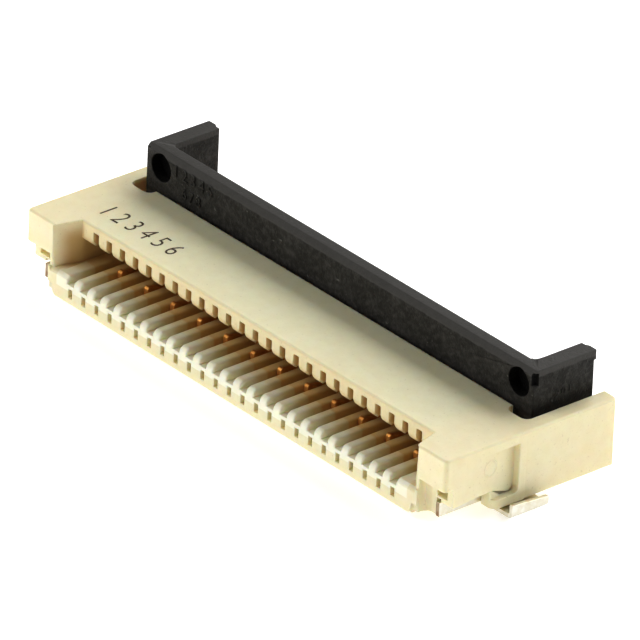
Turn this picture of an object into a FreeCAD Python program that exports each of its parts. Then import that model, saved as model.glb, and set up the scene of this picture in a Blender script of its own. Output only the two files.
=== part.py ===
import FreeCAD, Part
import math
import os
from types import SimpleNamespace

import Sketcher

# Flat cable connector, half-millimetre pitch, with a flip lever at the rear.
# X runs along the row of contacts, -Y is the mouth that takes the cable, +Z is away from the board.
# The origin is the middle of the footprint, on the board. All sizes are millimetres.

SIZES = {
    # the row
    "contact_count": 25,
    "contact_pitch": 0.5,
    "contact_thickness": 0.15,
    "slot_side_gap": 0.045,
    # the ends, and the gap below the body
    "board_gap": 0.15,
    "side_width": 1.27,
    "cable_side_gap": 0.02,
    # the mouth
    "floor_thickness": 0.705,
    "mouth_height": 0.705,
    "plate_thickness": 0.44,
    "floor_nose": 0.1,
    "ear_setback": 0.06,
    "lip_setback": 0.64,
    "funnel_width": 0.28,
    "cable_stop": 2.59,
    "stop_wall": 0.5,
    "plate_overhang": 0.05,
    "corner_radius": 0.12,
    "top_edge": 0.04,
    # slots for the contacts
    "channel_skin": 0.11,
    "arch_corner": 0.02,
    "tooth_corner": 0.055,
    "groove_skin": 0.15,
    "front_wall": 0.29,
    "front_notch_depth": 0.2,
    "core_hole_width": 0.14,
    "core_hole_height": 0.24,
    "core_hole_bottom": 0.31,
    # rear deck
    "deck_length": 1.25,
    "deck_height": 0.95,
    # ends of the lower lip, and the undercut below the ears
    "lip_end": 0.35,
    "lip_foot_end": 0.16,
    "lip_step_height": 0.45,
    "lip_corner": 0.15,
    "undercut_depth": 0.28,
    "undercut_height": 1.15,
    "undercut_radius": 0.2,
    "slot_mouth_width": 0.22,
    "slot_mouth_bottom": 0.78,
    "slot_mouth_top": 1.05,
    "slot_mouth_depth": 0.3,
    # side walls
    "side_wall": 0.44,
    "side_overhang": 0.48,
    "side_front_height": 0.65,
    "foot_height": 0.19,
    "foot_front": 1.59,
    "foot_corner": 0.2,
    "recess_depth": 0.2,
    "recess_front": 0.19,
    "recess_rear": 2.35,
    "recess_bottom": 0.44,
    "recess_top": 1.74,
    "recess_radius": 0.15,
    "side_step": 0.03,
    "side_step_front": 2.56,
    # lever
    "lever_gap": 0.12,
    "pivot_inset": 0.38,
    "lever_flush": 0.02,
    "lever_reach": 1.47,
    "bar_thickness": 0.42,
    "bar_bevel_width": 0.09,
    "bar_bevel_height": 0.14,
    "bar_rear_radius": 0.06,
    "arm_thickness": 0.47,
    "arm_depth": 1.88,
    "arm_side_gap": 0.19,
    "arm_bottom": 0.2,
    "arm_inner_radius": 0.4,
    "nib_height": 0.27,
    "nib_width": 0.35,
    "nib_slant": 0.1,
    "nib_depth": 0.06,
    "notch_front_gap": 0.37,
    "notch_side_gap": 0.07,
    "notch_radius": 0.2,
    "web_size": 0.36,
    "web_corner": 0.22,
    "cam_radius": 0.2,
    "cam_nose": 0.065,
    "cam_flat": 0.12,
    "cam_half_height": 0.13,
    "pivot_gap": 0.025,
    "window_side_gap": 0.06,
    "window_height": 0.4,
    "window_front_height": 0.3,
    "window_slope": 0.18,
    "sink_radius": 0.365,
    "sink_depth": 0.34,
    "sink_height": 0.99,
    "sink_inset": 0.54,
    "corner_pocket_width": 0.1,
    "corner_pocket_height": 0.33,
    "corner_pocket_depth": 0.14,
    "corner_pocket_top": 1.36,
    # contacts
    "contact_end_gap": 0.03,
    "beam_height": 0.26,
    "pillar_width": 0.38,
    "arm_top_gap": 0.04,
    "arm_height": 0.2,
    "hook_width": 0.13,
    "hook_corner": 0.2,
    "hook_end_rise": 0.11,
    "cradle_half_width": 0.13,
    "post_half_width": 0.2,
    "near_point": 1.19,
    "far_point": 1.79,
    "point_half_width": 0.08,
    "point_corner": 0.05,
    "lower_point_rise": 0.075,
    "upper_point_drop": 0.23,
    "finger_tip_height": 0.33,
    "finger_root_slope": 0.04,
    "finger_root_length": 0.25,
    "tail_gap": 0.04,
    "tail_length": 0.67,
    "tail_leg": 0.17,
    "tail_foot_height": 0.14,
    "tail_bend": 0.06,
    "tail_shoulder": 0.1,
    # hold-downs
    "strip_thickness": 0.12,
    "strip_side_gap": 0.015,
    "strip_front": 0.31,
    "strip_rear": 3.02,
    "strip_bottom": 0.247,
    "strip_top": 0.72,
    "strip_nose_drop": 0.1,
    "strip_nose_length": 0.3,
    "tab_front": 1.89,
    "tab_reach": 0.36,
    "flange_height": 0.39,
    "flange_slope": 0.1,
    "bend_radius": 0.05,
}

TINY = 1e-9


class Size:
    """A length with its value now and the expression that ties it to the sheet."""

    def __init__(self, value, text):
        self.value = value
        self.text = text

    @staticmethod
    def wrap(other):
        return other if isinstance(other, Size) else Size(float(other), repr(float(other)))

    def joined(self, sign, other, value):
        return Size(value, f"({self.text} {sign} {other.text})")

    def __add__(self, other):
        other = Size.wrap(other)
        return self.joined("+", other, self.value + other.value)

    def __sub__(self, other):
        other = Size.wrap(other)
        return self.joined("-", other, self.value - other.value)

    def __mul__(self, other):
        other = Size.wrap(other)
        return self.joined("*", other, self.value * other.value)

    def __truediv__(self, other):
        other = Size.wrap(other)
        return self.joined("/", other, self.value / other.value)

    def __radd__(self, other):
        return Size.wrap(other) + self

    def __rsub__(self, other):
        return Size.wrap(other) - self

    def __rmul__(self, other):
        return Size.wrap(other) * self

    def __neg__(self):
        return Size.wrap(0) - self


def root(size):
    """Square root of a size."""
    return Size(math.sqrt(size.value), f"sqrt({size.text})")


def across(radius, offset):
    """Half chord of a circle at an offset from its centre."""
    return root(radius * radius - offset * offset)


doc = FreeCAD.newDocument("connector")
sheet = doc.addObject("Spreadsheet::Sheet", "Sizes")
for row, (alias, number) in enumerate(SIZES.items(), start=1):
    sheet.set(f"A{row}", alias.replace("_", " "))
    sheet.set(f"B{row}", str(number))
    sheet.setAlias(f"B{row}", alias)
doc.recompute()
s = SimpleNamespace(**{alias: Size(sheet.get(alias), f"Sizes.{alias}") for alias in SIZES})

# Places that several pieces share, worked out from the sizes.
count = SIZES["contact_count"]
first_x = -(s.contact_count - 1) * s.contact_pitch / 2
slot_width = s.contact_thickness + 2 * s.slot_side_gap
hook_inner = s.cam_radius + s.pivot_gap
plate_depth = s.cable_stop + s.stop_wall + s.plate_overhang
pivot_depth = plate_depth + s.lever_gap + s.pivot_inset
front = -(pivot_depth + s.deck_length + s.tail_gap + s.tail_length) / 2
ear_front = front + s.ear_setback
lip_front = front + s.lip_setback
stop_front = front + s.cable_stop
stop_rear = stop_front + s.stop_wall
plate_rear = front + plate_depth
pivot_y = front + pivot_depth
notch_front = pivot_y - s.pivot_inset - s.notch_front_gap
deck_rear = pivot_y + s.deck_length
rear = deck_rear + s.side_overhang
tail_front = deck_rear + s.tail_gap
tail_end = tail_front + s.tail_length
bottom = s.board_gap
groove_bottom = bottom + s.groove_skin
floor_top = bottom + s.floor_thickness
ceiling = floor_top + s.mouth_height
top = ceiling + s.plate_thickness
channel_top = top - s.channel_skin
pivot_z = top - s.lever_flush - s.pivot_inset
mouth_half = (s.contact_count + 1) * s.contact_pitch / 2 + s.cable_side_gap
half_length = mouth_half + s.side_width
wall_inner = half_length - s.side_wall
arm_outer = wall_inner - s.arm_side_gap
arm_inner = arm_outer - s.arm_thickness
notch_inner = arm_inner - s.notch_side_gap
strip_outer = wall_inner - s.strip_side_gap
strip_inner = strip_outer - s.strip_thickness


def origin_feature(body, role):
    """The body's own origin plane or axis."""
    return next(item for item in body.Origin.OriginFeatures if item.Role == role)


def arc_between(start, end, radius):
    """Short arc from start to end: anticlockwise for a positive radius, clockwise for a negative one."""
    chord = (end[0] - start[0], end[1] - start[1])
    length = math.hypot(*chord)
    rise = math.sqrt(max(radius * radius - length * length / 4, 0)) * math.copysign(1, radius)
    centre_u = (start[0] + end[0]) / 2 - chord[1] / length * rise
    centre_v = (start[1] + end[1]) / 2 + chord[0] / length * rise
    first, last = (start, end) if radius > 0 else (end, start)
    angle = math.atan2(first[1] - centre_v, first[0] - centre_u)
    stop = math.atan2(last[1] - centre_v, last[0] - centre_u)
    circle = Part.Circle(FreeCAD.Vector(centre_u, centre_v, 0), FreeCAD.Vector(0, 0, 1), abs(radius))
    return Part.ArcOfCircle(circle, angle, stop if stop > angle else stop + 2 * math.pi)


def bind(sketch, kind, *place, size):
    """Add one dimension to a sketch and tie it to the sheet."""
    index = sketch.addConstraint(Sketcher.Constraint(kind, *place, size.value))
    sketch.setExpression(f"Constraints[{index}]", size.text)


def draw(sketch, corners):
    """Closed outline; a corner is (u, v), or (u, v, radius) where an arc runs on to the next corner."""
    spots = [tuple(Size.wrap(value) for value in corner) for corner in corners]
    numbers = [tuple(size.value for size in spot) for spot in spots]
    lines = []
    for start, end in zip(numbers, numbers[1:] + numbers[:1]):
        if len(start) == 3:
            lines.append(arc_between(start, end, start[2]))
        else:
            lines.append(Part.LineSegment(FreeCAD.Vector(*start, 0), FreeCAD.Vector(*end[:2], 0)))
    ids = sketch.addGeometry(lines, False)
    clockwise = [len(number) == 3 and number[2] < 0 for number in numbers]
    joints = []
    for index, line in enumerate(ids):
        before = ids[index - 1]
        end_before = 1 if clockwise[index - 1] else 2
        joints.append(Sketcher.Constraint("Coincident", before, end_before, line, 2 if clockwise[index] else 1))
    sketch.addConstraint(joints)
    for line, spot, turned in zip(ids, spots, clockwise):
        end = 2 if turned else 1
        bind(sketch, "DistanceX", -1, 1, line, end, size=spot[0])
        bind(sketch, "DistanceY", -1, 1, line, end, size=spot[1])
        if len(spot) == 3:
            bind(sketch, "Radius", line, size=-spot[2] if turned else spot[2])


def draw_circle(sketch, centre_u, centre_v, radius):
    """Full circle, held by its centre and radius."""
    centre = FreeCAD.Vector(centre_u.value, centre_v.value, 0)
    line = sketch.addGeometry(Part.Circle(centre, FreeCAD.Vector(0, 0, 1), radius.value), False)
    bind(sketch, "DistanceX", -1, 1, line, 3, size=centre_u)
    bind(sketch, "DistanceY", -1, 1, line, 3, size=centre_v)
    bind(sketch, "Radius", line, size=radius)


def sketch_on(body, name, role, height):
    """Empty sketch on one of the body's planes, moved along that plane's normal."""
    sketch = body.newObject("Sketcher::SketchObject", name)
    sketch.AttachmentSupport = [(origin_feature(body, role), "")]
    sketch.MapMode = "FlatFace"
    sketch.setExpression("AttachmentOffset.Base.z", Size.wrap(height).text)
    return sketch


def extrude(kind, body, name, role, height, length, outlines=(), circles=(), way="along"):
    """Pad or pocket of a sketch, along its plane's normal, against it, or half to each side."""
    sketch = sketch_on(body, name + "_outline", role, height)
    for corners in outlines:
        draw(sketch, corners)
    for circle in circles:
        draw_circle(sketch, *circle)
    before = body.Shape.Volume if body.Tip else 0
    feature = body.newObject("PartDesign::" + kind, name)
    feature.Profile = sketch
    feature.SideType = "Symmetric" if way == "both" else "One side"
    feature.Reversed = (way == "against") == (kind == "Pad")
    feature.setExpression("Length", length.text)
    doc.recompute()
    change = feature.Shape.Volume - before
    if (change > TINY) != (kind == "Pad") or abs(change) <= TINY:
        raise RuntimeError(f"{name} changes nothing or the wrong way")
    return feature


def pad(body, name, role, height, length, **rest):
    return extrude("Pad", body, name, role, height, length, **rest)


def pocket(body, name, role, height, length, **rest):
    return extrude("Pocket", body, name, role, height, length, **rest)


def row_of(body, name, originals):
    """One copy of the features for every contact, along X."""
    pattern = body.newObject("PartDesign::LinearPattern", name)
    pattern.Originals = originals
    pattern.Direction = (origin_feature(body, "X_Axis"), [""])
    pattern.Mode = "Spacing"
    pattern.setExpression("Occurrences", s.contact_count.text)
    pattern.setExpression("Offset", s.contact_pitch.text)
    body.Tip = pattern
    return pattern


def both_ends(body, name, originals):
    """Mirror image of the features at the other end of the connector."""
    mirror = body.newObject("PartDesign::Mirrored", name)
    mirror.Originals = originals
    mirror.MirrorPlane = (origin_feature(body, "YZ_Plane"), [""])
    body.Tip = mirror
    return mirror


def box(u0, v0, u1, v1):
    return [(u0, v0), (u1, v0), (u1, v1), (u0, v1)]


def new_body(name):
    body = doc.addObject("PartDesign::Body", name)
    body.Label = name
    return body


def housing_plan():
    """Outer outline seen from above, with the open rear and the notches for the lever's arms."""
    ring = s.corner_radius
    turn = s.notch_radius
    right = [
        (half_length - ring, ear_front, ring),
        (half_length, ear_front + ring),
        (half_length, rear - ring, ring),
        (half_length - ring, rear),
        (wall_inner, rear),
        (wall_inner, notch_front + turn, turn),
        (wall_inner - turn, notch_front),
        (notch_inner + turn, notch_front, turn),
        (notch_inner, notch_front + turn),
        (notch_inner, deck_rear),
    ]
    turns = {5, 7}
    right = [spot[:2] + (-spot[2],) if index in turns else spot for index, spot in enumerate(right)]
    left = []
    for index in range(len(right) - 1, -1, -1):
        spot = right[index]
        before = right[index - 1] if index else ()
        mirrored = (-spot[0], spot[1])
        left.append(mirrored + before[2:] if len(before) == 3 else mirrored)
    return right + left


def side_features(body):
    """What both ends of the housing have below and beside the ears: one end, then its mirror image."""
    made = []
    far = half_length + s.side_width
    deep = bottom - s.side_width
    foot_front = front + s.foot_front
    turn = s.recess_radius
    recess_front = ear_front + s.recess_front - s.ear_setback
    recess_rear = front + s.recess_rear
    made.append(pocket(
        body, "side_recess", "YZ_Plane", half_length - s.recess_depth, s.side_width,
        outlines=[[
            (recess_front, s.recess_bottom),
            (recess_rear - turn, s.recess_bottom, turn),
            (recess_rear, s.recess_bottom + turn),
            (recess_rear, s.recess_top),
            (recess_front, s.recess_top),
        ]]))
    floor = half_length - s.recess_depth
    made.append(pad(
        body, "recess_ramp", "XY_Plane", s.recess_bottom, s.recess_top - s.recess_bottom,
        outlines=[[(floor, recess_front), (half_length, recess_front), (floor, recess_rear)]]))
    made.append(pocket(
        body, "side_underside", "YZ_Plane", strip_outer, far - strip_outer,
        outlines=[[
            (front - s.side_width, deep),
            (rear + s.side_width, deep),
            (rear + s.side_width, s.foot_height),
            (foot_front, s.foot_height),
            (foot_front, s.side_front_height),
            (front - s.side_width, s.side_front_height),
        ]]))
    inner_block = mouth_half + s.lip_foot_end
    made.append(pocket(
        body, "inner_underside", "YZ_Plane", inner_block, strip_outer - inner_block,
        outlines=[box(front - s.side_width, deep, rear, s.strip_bottom)]))
    lip_side = mouth_half + s.lip_end
    back = ear_front + s.undercut_depth
    made.append(pocket(
        body, "undercut", "XY_Plane", deep, s.undercut_height - deep,
        outlines=[[
            (lip_side, front - s.side_width),
            (far, front - s.side_width),
            (far, back),
            (lip_side + s.undercut_radius, back, s.undercut_radius),
            (lip_side, back - s.undercut_radius),
        ]]))
    made.append(pocket(
        body, "slot_mouth", "XZ_Plane", -back, s.slot_mouth_depth, way="against",
        outlines=[box(strip_inner, s.slot_mouth_bottom, wall_inner + s.slot_mouth_width, s.slot_mouth_top)]))
    round_off = s.foot_corner
    made.append(pocket(
        body, "foot_corner", "XY_Plane", deep, s.side_front_height - deep,
        outlines=[[
            (half_length - round_off, foot_front - s.side_width),
            (far, foot_front - s.side_width),
            (far, foot_front + round_off),
            (half_length, foot_front + round_off, -round_off),
            (half_length - round_off, foot_front),
        ]]))
    made.append(pocket(
        body, "side_step", "YZ_Plane", half_length - s.side_step, far - half_length,
        outlines=[box(front + s.side_step_front, deep, rear + s.side_width, top - s.top_edge * 2)]))
    slot_inner = strip_inner - s.strip_side_gap
    made.append(pocket(
        body, "strip_slot", "YZ_Plane", slot_inner, wall_inner - slot_inner,
        outlines=[box(front, deep, front + s.strip_rear + s.strip_side_gap, s.strip_top)]))
    both_ends(body, "sides", made)


def top_edges(feature):
    """Edges round the outside of the top face."""
    limits = feature.Shape.BoundBox
    picked = []
    for number, edge in enumerate(feature.Shape.Edges, start=1):
        low = edge.BoundBox
        middle = low.Center
        outside = limits.XMax - abs(middle.x) < s.corner_radius.value
        ahead = middle.y - limits.YMin < s.corner_radius.value
        if low.ZMin > limits.ZMax - TINY and (outside or ahead):
            picked.append(f"Edge{number}")
    return picked


def make_housing():
    """The moulded body: mouth, comb of slots, cable stop, rear deck and side walls."""
    body = new_body("housing")
    block = pad(body, "block", "XY_Plane", bottom, top - bottom, outlines=[housing_plan()])
    softened = body.newObject("PartDesign::Chamfer", "top_edge")
    softened.Base = (block, top_edges(block))
    softened.setExpression("Size", s.top_edge.text)
    doc.recompute()

    lip_side = mouth_half + s.lip_end
    lip_foot = mouth_half + s.lip_foot_end
    pad(body, "lower_lip", "XZ_Plane", -front, s.undercut_depth + s.ear_setback, way="against", outlines=[[
        (-lip_foot, bottom + s.lip_corner, s.lip_corner),
        (-lip_foot + s.lip_corner, bottom),
        (lip_foot - s.lip_corner, bottom, s.lip_corner),
        (lip_foot, bottom + s.lip_corner),
        (lip_foot, s.lip_step_height),
        (lip_side, s.lip_step_height),
        (lip_side, floor_top),
        (-lip_side, floor_top),
        (-lip_side, s.lip_step_height),
        (-lip_foot, s.lip_step_height),
    ]])

    wide = mouth_half + s.funnel_width
    ahead = front - s.lip_setback
    slope = s.funnel_width / (lip_front - ear_front)
    wider = mouth_half + slope * (lip_front - ahead)
    pocket(body, "mouth", "XY_Plane", floor_top, ceiling - floor_top, outlines=[[
        (-wider, ahead), (wider, ahead), (mouth_half, lip_front), (mouth_half, stop_front),
        (-mouth_half, stop_front), (-mouth_half, lip_front),
    ]])
    pocket(body, "lip", "XY_Plane", ceiling, s.plate_thickness * 2, outlines=[[
        (-wider, ahead), (wider, ahead), (mouth_half, lip_front), (-mouth_half, lip_front),
    ]])
    pocket(body, "rear_opening", "YZ_Plane", 0, 2 * wall_inner, way="both",
           outlines=[box(plate_rear, s.deck_height, rear + s.lip_setback, top + s.plate_thickness)])
    pocket(body, "rear_hollow", "YZ_Plane", 0, 2 * mouth_half, way="both",
           outlines=[box(stop_rear, s.deck_height, plate_rear + s.lever_gap, ceiling)])
    nose = s.floor_nose
    pocket(body, "floor_nose", "YZ_Plane", 0, 2 * wide, way="both", outlines=[[
        (front - nose, floor_top - 2 * nose), (front + nose, floor_top), (front - nose, floor_top),
    ]])
    side_features(body)

    groove = pocket(body, "groove", "YZ_Plane", first_x, slot_width, way="both", outlines=[[
        (front - nose, floor_top - s.front_notch_depth),
        (front + s.front_wall, floor_top - s.front_notch_depth),
        (front + s.front_wall, groove_bottom),
        (tail_front, groove_bottom),
        (tail_front, ceiling),
        (front - nose, ceiling),
    ]])
    half = slot_width / 2
    arch = s.arch_corner
    flare = s.tooth_corner
    channel = pocket(body, "channel", "XZ_Plane", -lip_front + nose, plate_depth, way="against", outlines=[[
        (first_x - half - flare, ceiling - flare),
        (first_x + half + flare, ceiling - flare),
        (first_x + half + flare, ceiling),
        (first_x + half, ceiling + flare),
        (first_x + half, channel_top - arch),
        (first_x + half - arch, channel_top),
        (first_x - half + arch, channel_top),
        (first_x - half, channel_top - arch),
        (first_x - half, ceiling + flare),
        (first_x - half - flare, ceiling),
    ]])
    core = s.core_hole_width / 2
    hole = pocket(body, "core_hole", "XZ_Plane", -front, s.front_wall, way="against", outlines=[
        box(first_x - core, s.core_hole_bottom, first_x + core, s.core_hole_bottom + s.core_hole_height)])
    row_of(body, "slots", [groove, channel, hole])
    return body


def finger_tip(point_y, height, length, up):
    """End of a contact finger: a flat-topped point that rises from the finger, front edge first."""
    half = s.point_half_width
    corner = s.point_corner
    return [
        (point_y - half, height - up * length),
        (point_y - half, height - up * corner),
        (point_y - half + corner, height),
        (point_y + half - corner, height),
        (point_y + half, height - up * corner),
    ]


def contact_outline(point):
    """Side view of a contact stamped flat: two fingers, pillar, hook over the cam, cradle and tail."""
    point_y = front + point
    beam_top = groove_bottom + s.beam_height
    pillar_front = stop_front + s.contact_end_gap
    pillar_rear = pillar_front + s.pillar_width
    arm_top = channel_top - s.arm_top_gap
    arm_low = arm_top - s.arm_height
    hook_outer = hook_inner + s.hook_width
    hook_flat = hook_outer - s.hook_corner
    horn = pivot_z - across(hook_inner, s.cradle_half_width)
    tail_back = tail_front + s.tail_leg
    bend = s.tail_bend
    shoulder = s.tail_shoulder
    upper = finger_tip(point_y, ceiling - s.upper_point_drop, s.finger_tip_height, -1)
    lower = finger_tip(point_y, floor_top + s.lower_point_rise, s.finger_tip_height, 1)
    return [
        (pillar_front - s.finger_root_length, groove_bottom),
        (tail_front, groove_bottom),
        (tail_front, 0),
        (tail_end, 0),
        (tail_end, s.tail_foot_height),
        (tail_back + bend, s.tail_foot_height),
        (tail_back, s.tail_foot_height + bend),
        (tail_back, beam_top - shoulder),
        (tail_back - shoulder, beam_top),
        (pivot_y + s.post_half_width, beam_top),
        (pivot_y + s.post_half_width, horn),
        (pivot_y + s.cradle_half_width, horn, -hook_inner),
        (pivot_y - s.cradle_half_width, horn),
        (pivot_y - s.post_half_width, horn),
        (pivot_y - s.post_half_width, beam_top),
        (pillar_rear, beam_top),
        (pillar_rear, arm_low),
        (pivot_y - across(hook_inner, arm_low - pivot_z), arm_low, -hook_inner),
        (pivot_y + across(hook_inner, s.hook_end_rise), pivot_z + s.hook_end_rise),
        (pivot_y + hook_outer, pivot_z + s.hook_end_rise),
        (pivot_y + hook_outer, pivot_z + hook_flat),
        (pivot_y + hook_flat, pivot_z + hook_outer),
        (pivot_y - hook_flat, pivot_z + hook_outer),
        (pivot_y - hook_outer, arm_top),
        (pillar_front, arm_top),
        *upper,
        (pillar_front, arm_low - s.finger_root_slope),
        (pillar_front, beam_top + s.finger_root_slope),
        *reversed(lower),
    ]


def make_contacts():
    """A row of two kinds in turn, whose points touch the cable at two distances from its end."""
    kinds = []
    for number in range(1, count + 1):
        body = new_body(f"contact_{number:02d}")
        if number <= 2:
            point = s.far_point if number == 1 else s.near_point
            pad(body, f"blade_{number}", "YZ_Plane", 0, s.contact_thickness, way="both",
                outlines=[contact_outline(point)])
            kinds.append(body)
        else:
            body.BaseFeature = kinds[(number - 1) % 2]
        body.setExpression("Placement.Base.x", (first_x + (number - 1) * s.contact_pitch).text)


def bar_outline():
    """Section of the lever between its arms: the bar, and the web round the pivot that its windows cut into ribs."""
    face = pivot_y - s.pivot_inset
    back = face + s.bar_thickness
    crown = pivot_z + s.lever_reach
    web = s.web_size
    flat = web - s.web_corner
    turn = s.bar_rear_radius
    return [
        (face, pivot_z - flat),
        (face + s.web_corner, pivot_z - web),
        (pivot_y + flat, pivot_z - web),
        (pivot_y + web, pivot_z - flat),
        (pivot_y + web, pivot_z + flat),
        (pivot_y + flat, pivot_z + web),
        (back, pivot_z + web),
        (back, crown - turn, turn),
        (back - turn, crown),
        (face + s.bar_bevel_width, crown),
        (face, crown - s.bar_bevel_height),
    ]


def arm_outline():
    """Side view of one of the lever's arms, rounded below the pivot."""
    face = pivot_y - s.pivot_inset
    end = face + s.arm_depth
    crown = pivot_z + s.lever_reach
    turn = s.pivot_inset
    return [
        (face, pivot_z, turn),
        (pivot_y, pivot_z - turn, turn),
        (pivot_y + turn, pivot_z, turn),
        (pivot_y + across(turn, s.arm_bottom), pivot_z + s.arm_bottom),
        (end, pivot_z + s.arm_bottom),
        (end, crown),
        (face + s.bar_bevel_width, crown),
        (face, crown - s.bar_bevel_height),
    ]


def make_lever():
    """The flip lever, upright as when the connector is open."""
    body = new_body("lever")
    face = pivot_y - s.pivot_inset
    back = face + s.bar_thickness
    crown = pivot_z + s.lever_reach
    pad(body, "bar", "YZ_Plane", 0, 2 * arm_inner, way="both", outlines=[bar_outline()])
    arm = pad(body, "arm", "YZ_Plane", arm_inner, s.arm_thickness, outlines=[arm_outline()])
    turn = s.arm_inner_radius
    inside = back - s.bar_rear_radius
    gusset = pad(body, "gusset", "XY_Plane", pivot_z + s.window_height, crown - pivot_z - s.window_height, outlines=[[
        (arm_inner - turn, back), (arm_inner - turn, inside), (arm_inner, inside), (arm_inner, back + turn, -turn),
    ]])
    end = face + s.arm_depth
    nib = pad(body, "nib", "XY_Plane", crown - s.nib_height, s.nib_height, outlines=[[
        (arm_outer, end), (arm_outer, end + s.nib_depth),
        (arm_outer - s.nib_width + s.nib_slant, end + s.nib_depth), (arm_outer - s.nib_width, end),
    ]])
    sink_x = arm_outer - s.sink_inset
    sink = pocket(body, "sink", "XZ_Plane", -face, s.sink_depth, way="against",
                  circles=[(sink_x, pivot_z + s.sink_height, s.sink_radius)])
    both_ends(body, "ends", [arm, gusset, nib, sink])
    doc.recompute()
    side = arm_outer - s.corner_pocket_width
    pocket_top = pivot_z + s.corner_pocket_top
    pocket(body, "corner_pocket", "XZ_Plane", -face, s.corner_pocket_depth, way="against", outlines=[
        box(side, pocket_top - s.corner_pocket_height, arm_outer + s.corner_pocket_width, pocket_top)])

    reach = s.window_height + s.pivot_inset
    tip = across(s.cam_radius, s.cam_nose)
    window = pocket(body, "window", "YZ_Plane", first_x, s.contact_thickness + 2 * s.window_side_gap, way="both", outlines=[
        [
            (pivot_y - reach, pivot_z - reach),
            (pivot_y + reach, pivot_z - reach),
            (pivot_y + reach, pivot_z + s.window_height),
            (face + s.window_slope, pivot_z + s.window_height),
            (face, pivot_z + s.window_front_height),
            (pivot_y - reach, pivot_z + s.window_front_height),
        ],
        [
            (pivot_y - tip, pivot_z + s.cam_nose, s.cam_radius),
            (pivot_y - tip, pivot_z - s.cam_nose),
            (pivot_y - s.cam_flat, pivot_z - s.cam_half_height),
            (pivot_y + s.cam_flat, pivot_z - s.cam_half_height),
            (pivot_y + tip, pivot_z - s.cam_nose, s.cam_radius),
            (pivot_y + tip, pivot_z + s.cam_nose),
            (pivot_y + s.cam_flat, pivot_z + s.cam_half_height),
            (pivot_y - s.cam_flat, pivot_z + s.cam_half_height),
        ]])
    row_of(body, "windows", [window])
    return body


def make_hold_down(name, side):
    """Solder tab bent from strip: upright blade in the housing's slot, flat foot, and upturned outer edge."""
    body = new_body(name)
    strip_front = front + s.strip_front
    strip_rear = front + s.strip_rear
    way = "along" if side > 0 else "against"
    pad(body, name + "_blade", "YZ_Plane", side * strip_inner, s.strip_thickness, way=way, outlines=[[
        (strip_front, s.strip_bottom),
        (strip_rear, s.strip_bottom),
        (strip_rear, s.strip_top - s.strip_nose_drop),
        (strip_rear - s.strip_nose_length, s.strip_top),
        (strip_front + s.strip_nose_length, s.strip_top),
        (strip_front + s.strip_nose_length, s.strip_top - s.strip_nose_drop),
        (strip_front, s.strip_top - s.strip_nose_drop),
    ]])
    thin = s.strip_thickness
    bend = s.bend_radius
    wide = bend + thin
    edge = half_length + s.tab_reach
    high = (s.strip_bottom + s.strip_top) / 2
    corners = [
        (strip_inner, wide, wide),
        (strip_inner + wide, 0),
        (edge - wide, 0, wide),
        (edge, wide),
        (edge, s.flange_height),
        (edge - thin, s.flange_height),
        (edge - thin, wide, -bend),
        (edge - wide, thin),
        (strip_inner + wide, thin, -bend),
        (strip_outer, wide),
        (strip_outer, high),
        (strip_inner, high),
    ]
    if side < 0:
        corners = [(-spot[0], spot[1]) + tuple(-radius for radius in spot[2:]) for spot in corners]
    pad(body, name + "_foot", "XZ_Plane", -(front + s.tab_front), s.strip_rear - s.tab_front, way="against",
        outlines=[corners])
    top_edge = [
        (front + s.tab_front, s.flange_height),
        (strip_rear, s.flange_height - s.flange_slope),
        (strip_rear, s.flange_height),
    ]
    pocket(body, name + "_flange", "YZ_Plane", side * (edge - wide), wide, way=way, outlines=[top_edge])
    return body


def export_parts():
    """Check every object, then write one file for each piece."""
    doc.recompute()
    for item in doc.Objects:
        if "Invalid" in item.State or "Error" in item.State:
            raise RuntimeError(f"{item.Name} failed: {item.State}")
    bodies = [item for item in doc.Objects if item.TypeId == "PartDesign::Body"]
    for body in bodies:
        if body.Shape.isNull() or not body.Shape.isValid() or len(body.Shape.Solids) != 1:
            raise RuntimeError(f"{body.Label} isn't one valid solid")
    os.makedirs("parts", exist_ok=True)
    for body in bodies:
        body.Shape.exportStep(f"parts/{body.Label}.step")
    return bodies


make_housing()
make_contacts()
make_lever()
make_hold_down("hold_down_left", -1)
make_hold_down("hold_down_right", 1)
for piece in export_parts():
    limits = piece.Shape.BoundBox
    print(f"{piece.Label}: {piece.Shape.Volume:.4f} mm3, z {limits.ZMin:.3f} to {limits.ZMax:.3f}")
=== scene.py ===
"""Looks of a flat cable connector: moulded housing, row of plated contacts, flip lever and solder tabs."""

import logging
import math
from dataclasses import dataclass
from enum import Enum
from typing import Any, Callable, Sequence

import bmesh
import bpy
from mathutils import Euler, Matrix, Vector
from mathutils.bvhtree import BVHTree


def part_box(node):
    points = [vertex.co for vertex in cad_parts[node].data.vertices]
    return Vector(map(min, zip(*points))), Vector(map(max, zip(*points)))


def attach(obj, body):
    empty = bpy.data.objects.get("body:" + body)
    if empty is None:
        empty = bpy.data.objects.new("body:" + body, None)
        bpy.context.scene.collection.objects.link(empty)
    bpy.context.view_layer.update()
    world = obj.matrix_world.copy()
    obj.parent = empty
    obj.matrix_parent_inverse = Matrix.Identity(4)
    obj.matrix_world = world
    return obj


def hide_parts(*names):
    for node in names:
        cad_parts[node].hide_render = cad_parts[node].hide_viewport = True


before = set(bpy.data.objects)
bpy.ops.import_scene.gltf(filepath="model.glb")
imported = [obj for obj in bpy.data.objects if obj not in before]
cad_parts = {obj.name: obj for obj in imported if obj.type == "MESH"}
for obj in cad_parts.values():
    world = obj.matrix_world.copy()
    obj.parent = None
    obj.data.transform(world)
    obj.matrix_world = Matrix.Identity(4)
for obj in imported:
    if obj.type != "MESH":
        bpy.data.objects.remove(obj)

log = logging.getLogger("connector")

MM = 0.001

Colour = tuple[float, float, float]
Place = tuple[float, float, float]
Fade = tuple[float, float]
Band = tuple[float, float, float]

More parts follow.
